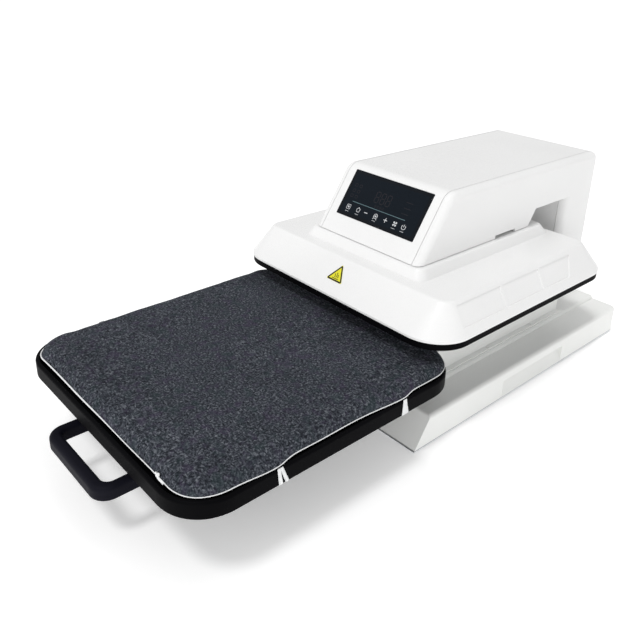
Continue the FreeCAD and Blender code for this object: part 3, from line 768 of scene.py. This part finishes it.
class Marks:
    """Thin raised marks on a slope, drawn in millimetres across and up it."""

    def __init__(self, slope, low, high):
        self.slope, self.low, self.high = slope, low, high
        self.verts, self.faces = [], []

    def solid(self, rows, closed):
        """A prism between a left and a right row of points; closed joins the last pair to the first."""
        start = len(self.verts)
        left, right = rows
        n = len(left)
        for h in (self.high, self.low):
            for row in (left, right):
                self.verts += [self.slope.at(x, s, h) for x, s in row]
        at = lambda level, row, i: start + (level * 2 + row) * n + i % n
        for i in range(n if closed else n - 1):
            a, b = i, i + 1
            self.faces += [
                (at(0, 0, a), at(0, 1, a), at(0, 1, b), at(0, 0, b)),
                (at(1, 0, b), at(1, 1, b), at(1, 1, a), at(1, 0, a)),
                (at(0, 0, b), at(1, 0, b), at(1, 0, a), at(0, 0, a)),
                (at(0, 1, a), at(1, 1, a), at(1, 1, b), at(0, 1, b)),
            ]
        if not closed:
            for i, turn in ((0, 1), (n - 1, -1)):
                cap = (at(0, 0, i), at(1, 0, i), at(1, 1, i), at(0, 1, i))
                self.faces.append(cap[::turn])

    def stroke(self, path, width, closed=False):
        """A line of even width along a path."""
        n = len(path)
        left, right = [], []
        for i, (x, s) in enumerate(path):
            ax, ay = path[i - 1] if closed or i else path[0]
            bx, by = path[(i + 1) % n] if closed or i < n - 1 else path[-1]
            before = Vector((x - ax, s - ay))
            after = Vector((bx - x, by - s))
            ways = [v.normalized() for v in (before, after) if v.length > 1e-9]
            mean = sum(ways, Vector((0, 0))).normalized()
            miter = width / 2 / max(0.35, mean.dot(ways[0]))
            side = Vector((-mean.y, mean.x)) * miter
            left.append((x + side.x, s + side.y))
            right.append((x - side.x, s - side.y))
        self.solid((left, right), closed)

    def plate(self, points):
        """A flat convex shape."""
        start, n = len(self.verts), len(points)
        for h in (self.high, self.low):
            self.verts += [self.slope.at(x, s, h) for x, s in points]
        self.faces.append(tuple(start + i for i in range(n)))
        self.faces.append(tuple(start + n + i for i in reversed(range(n))))
        for i in range(n):
            j = (i + 1) % n
            self.faces.append((start + i, start + n + i, start + n + j, start + j))

    def piece(self, name, body, slot, finish):
        mesh = mesh_from(name, self.verts, self.faces, smooth=False)
        return add_piece(name, mesh, body, slot, finish)


def arc(cx, cs, r, a0=0.0, a1=360.0, steps=28):
    """Points along a circle from angle a0 to a1, in degrees; the end is left out of a full turn."""
    full = abs(a1 - a0) >= 360
    count = steps if full else steps + 1
    return [(cx + r * math.cos(math.radians(a0 + (a1 - a0) * i / steps)),
             cs + r * math.sin(math.radians(a0 + (a1 - a0) * i / steps))) for i in range(count)]


def rounded(cx, cs, w, h, r, steps=5):
    """Points round a rectangle with rounded corners."""
    points = []
    for sx, sy, a in ((1, 1, 0), (-1, 1, 90), (-1, -1, 180), (1, -1, 270)):
        points += arc(cx + sx * (w / 2 - r), cs + sy * (h / 2 - r), r, a, a + 90, steps)
    return points


# ---- display -----------------------------------------------------------------------------------
glass = Slope("display_glass")
window_h = 0.04
window = Marks(glass, 0.0, window_h)
window.plate(rounded(0, 0, 147.5, 64.5, 2.5))
window.piece("display_window", "base", "black_glass", ink_navy)

icon_row = -22.5
underline_row = icon_row - 7.2
underline_half = 3.4
icon_xs = (-60.7, -39.5, -23.3, -2.8, 17.6, 36.6, 54.0)
icons = Marks(glass, window_h, 0.10)


def grid_icon(x, s):
    icons.stroke(rounded(x, s, 7.2, 7.2, 1.2), 0.75, closed=True)
    icons.plate(rounded(x, s, 3.0, 3.0, 0.7))


def house_icon(x, s):
    icons.stroke([(x + 3.6 * math.sin(math.radians(72 * i)), s + 3.9 * math.cos(math.radians(72 * i)))
                  for i in range(5)], 0.85, closed=True)


def minus_icon(x, s):
    icons.stroke([(x - 3.4, s), (x + 3.4, s)], 1.1)


def round_icon(x, s):
    icons.stroke(arc(x, s + 0.5, 3.5), 0.9, closed=True)
    icons.plate(arc(x, s + 0.5, 1.6))
    for side in (-1, 1):
        icons.stroke([(x + side * 2.4, s - 3.2), (x + side * 3.6, s - 4.9)], 1.0)


def plus_icon(x, s):
    icons.stroke([(x - 3.6, s), (x + 3.6, s)], 1.1)
    for side in (-1, 1):
        icons.stroke([(x, s + side * 0.55), (x, s + side * 3.6)], 1.1)


def fan_icon(x, s):
    icons.plate(arc(x, s, 0.9))
    for k in range(4):
        a = math.radians(45 + 90 * k)
        icons.plate(arc(x + 2.9 * math.cos(a), s + 2.9 * math.sin(a), 1.5, steps=16))


def dial_icon(x, s):
    icons.stroke(arc(x, s, 3.6, 130, 410), 0.9)
    icons.stroke([(x, s), (x, s + 4.2)], 0.9)


icon_kinds = (grid_icon, house_icon, minus_icon, round_icon, plus_icon, fan_icon, dial_icon)
for draw, x in zip(icon_kinds, icon_xs):
    draw(x, icon_row)
    if draw not in (minus_icon, plus_icon):
        icons.stroke([(x - underline_half, underline_row), (x + underline_half, underline_row)], 0.6)
icons.piece("display_icons", "base", "black_glass", ink_white)

line = Marks(glass, window_h, 0.09)
line.stroke([(-58, -12.5), (51, -12.5)], 1.0)
line.piece("display_line", "base", "black_glass", ink_teal)

ghost = Marks(glass, window_h, 0.07)
ghost_rows = (13.5, 4.4, -4.3)


def segments(x, s, w, h, t):
    """All seven bars of an unlit digit."""
    gap = t * 0.55
    for level in (-1, 0, 1):
        ghost.stroke([(x - w / 2 + gap, s + level * h / 2), (x + w / 2 - gap, s + level * h / 2)], t)
    for side in (-1, 1):
        bar_x = x + side * w / 2
        for level in (-1, 1):
            ghost.stroke([(bar_x, s + level * gap), (bar_x, s + level * (h / 2 - gap))], t)


for k in range(3):
    segments(-15.5 + 11.5 * k, 6.0, 7.6, 17.0, 1.5)
for k in range(4):
    segments(-12.0 + 5.2 * k, -8.3, 3.0, 3.8, 0.7)
for x in (-65.0, -55.5):
    for s in ghost_rows:
        ghost.stroke(rounded(x, s, 5.0, 4.2, 0.9), 0.8, closed=True)
for s in ghost_rows:
    ghost.stroke([(39, s), (52, s)], 1.0)
ghost.piece("display_ghost_marks", "base", "black_glass", ink_ghost)

# ---- hot-surface sign --------------------------------------------------------------------------
sign = Slope("hot_sign")
sign_low, sign_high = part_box("hot_sign")
sign_side = (sign_high.x - sign_low.x) / MM


def triangle(side, r, steps=6):
    """An upright triangle with rounded corners about its centre."""
    points = []
    d = side / math.sqrt(3) - 2 * r
    for a in (90, 210, 330):
        x, s = d * math.cos(math.radians(a)), d * math.sin(math.radians(a))
        points += arc(x, s, r, a - 60, a + 60, steps)
    return points


centroid_drop = -sign_side * (math.sqrt(3) / 12)
sign.centre = sign.at(0, centroid_drop, 0)
wave_steps = [i / 8 for i in range(9)]
sign_line = 1.1
field = Marks(sign, -0.15, 0.0)
field.plate(triangle(sign_side + 2.0, 1.4))
sign_piece = field.piece("hot_surface_sign", "head", "sign_yellow", finishes["sign_yellow"])
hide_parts("hot_sign")
border = Marks(sign, 0.0, 0.08)
border.stroke(triangle(sign_side - 2.6, 1.0), 2.3, closed=True)
for k in (-1, 0, 1):
    rise = 8.0 if k == 0 else 5.4
    border.stroke([(k * 3.0 + 0.6 * math.sin(t * 5), -3.4 + rise * t) for t in wave_steps], sign_line)
border.stroke([(-6.4, -5.2), (6.4, -5.2)], sign_line)
border.piece("hot_surface_sign_print", "head", "sign_yellow", ink_black)


# ---- lead screw --------------------------------------------------------------------------------
def lead_screw_mesh():
    """The screw with its trapezoidal thread, collar and shaft, about its own axis."""
    low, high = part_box("lead_screw")
    cx, cy = (low.x + high.x) / 2, (low.y + high.y) / 2
    pitch, major, minor = 4 * MM, 8 * MM, 6.2 * MM
    thread_top = 246.3 * MM
    collar_top, collar_r, shaft_r = 250 * MM, high.x - cx, 6 * MM
    edge, end_edge = 0.5 * MM, 0.8 * MM
    turn, rows = 40, []
    steps = int((thread_top - low.z) / (pitch / 12))
    for j in range(steps + 1):
        z = low.z + (thread_top - low.z) * j / steps
        ring = []
        for i in range(turn):
            a = 2 * math.pi * i / turn
            f = ((z - pitch * i / turn) / pitch) % 1.0
            ramp = min(1.0, max(0.0, (abs(f - 0.5) - 0.15) / 0.12))
            fade = min(1.0, (z - low.z) / MM, (thread_top - z) / MM)
            r = minor + (major - minor) * ramp * fade
            ring.append(Vector((cx + r * math.cos(a), cy + r * math.sin(a), z)))
        rows.append(ring)
    angles = [2 * math.pi * i / turn for i in range(turn)]
    for z, r in ((thread_top, collar_r - edge), (thread_top + edge, collar_r),
                 (collar_top - edge, collar_r), (collar_top, collar_r - edge), (collar_top, shaft_r),
                 (high.z - end_edge, shaft_r), (high.z, shaft_r - end_edge)):
        rows.append([Vector((cx + r * math.cos(a), cy + r * math.sin(a), z)) for a in angles])
    verts = [v for ring in rows for v in ring]
    at = lambda j, i: j * turn + i % turn
    faces = [(at(j, i), at(j, i + 1), at(j + 1, i + 1), at(j + 1, i))
             for j in range(len(rows) - 1) for i in range(turn)]
    faces.append(tuple(reversed(range(turn))))
    faces.append(tuple((len(rows) - 1) * turn + i for i in range(turn)))
    return mesh_from("lead_screw_threaded", verts, faces, smooth=False)


screw = add_piece("lead_screw_threaded", lead_screw_mesh(), "screw", "steel", replaces=("lead_screw",))
screw.data.shade_smooth()
screw.data.set_sharp_from_angle(angle=math.radians(35))

# ---- floor, light and camera -------------------------------------------------------------------
far = 30
floor_mesh = mesh_from("studio_floor", [(-far, -far, 0), (far, -far, 0), (far, far, 0), (-far, far, 0)],
                       [(0, 1, 2, 3)])
floor = bpy.data.objects.new("studio_floor", floor_mesh)
bpy.context.scene.collection.objects.link(floor)
floor_finish = Finish("studio_floor")
floor_finish.set("Roughness", 0.9)
floor_finish.set("Specular IOR Level", 0.0)
floor_finish.color(floor_finish.ramp(floor_finish.noise(3.0, 3.0), (0.3, 0.955), (0.7, 0.965)))
floor_mesh.materials.append(floor_finish.mat)

scene = bpy.context.scene
scene.view_settings.view_transform = "Standard"
world = bpy.data.worlds.new("studio")
world.use_nodes = True
world.node_tree.nodes["Background"].inputs["Color"].default_value = (1, 1, 1, 1)
scene.world = world


def area_light(name, at, aim, size, power):
    """A soft panel at one point, facing another, power in W."""
    data = bpy.data.lights.new(name, "AREA")
    data.shape = "RECTANGLE"
    data.size, data.size_y = size
    data.energy = power
    obj = bpy.data.objects.new(name, data)
    obj.location = at
    obj.rotation_mode = "QUATERNION"
    obj.rotation_quaternion = (Vector(aim) - Vector(at)).to_track_quat("-Z", "Y")
    scene.collection.objects.link(obj)
    return obj


def sun_light(name, towards, power, spread):
    """Parallel light from the direction towards, power in W/m2, spread in degrees."""
    data = bpy.data.lights.new(name, "SUN")
    data.energy = power
    data.angle = math.radians(spread)
    obj = bpy.data.objects.new(name, data)
    obj.rotation_mode = "QUATERNION"
    obj.rotation_quaternion = (-Vector(towards)).to_track_quat("-Z", "Y")
    scene.collection.objects.link(obj)
    return obj


dome_strength = 0.585
floor_glow = 0.29
key_power = 0.94
front_power = 7.3
low_power = 9.0
top_power = 8.0
world.node_tree.nodes["Background"].inputs["Strength"].default_value = dome_strength
floor_finish.set("Emission Color", (1, 1, 1, 1))
floor_finish.set("Emission Strength", floor_glow)
sun_light("key", (0.04, -0.42, 0.9), key_power, 13)
area_light("fill_front", (-0.8, -2.6, 0.9), (0, 0, 0.15), (2.0, 1.3), front_power)
area_light("fill_low", (1.5, -1.9, 0.40), (0, 0, 0.08), (1.6, 0.6), low_power)
area_light("top", (-0.1, 0.9, 2.2), (0, 0.1, 0.2), (2.0, 2.0), top_power)

camera_data = bpy.data.cameras.new("camera")
camera_data.lens = 39.916
camera_data.sensor_width = 36
camera_data.shift_x = -0.0234
camera_data.shift_y = -0.1094
camera_data.clip_start = 0.05
camera_data.clip_end = 100
camera = bpy.data.objects.new("camera", camera_data)
scene.collection.objects.link(camera)
azimuth, elevation, roll = (math.radians(a) for a in (46.701, 22.612, 2.116))
back = Vector((math.sin(azimuth) * math.cos(elevation), -math.cos(azimuth) * math.cos(elevation),
               math.sin(elevation)))
camera_at = (0.6844, -0.70535, 0.6251)
level_right = (-back).cross(Vector((0, 0, 1))).normalized()
level_down = (-back).cross(level_right)
right = math.cos(roll) * level_right - math.sin(roll) * level_down
down = math.sin(roll) * level_right + math.cos(roll) * level_down
camera.matrix_world = Matrix.Translation(camera_at) @ Matrix(
    ((right.x, -down.x, back.x), (right.y, -down.y, back.y), (right.z, -down.z, back.z))).to_4x4()
scene.camera = camera
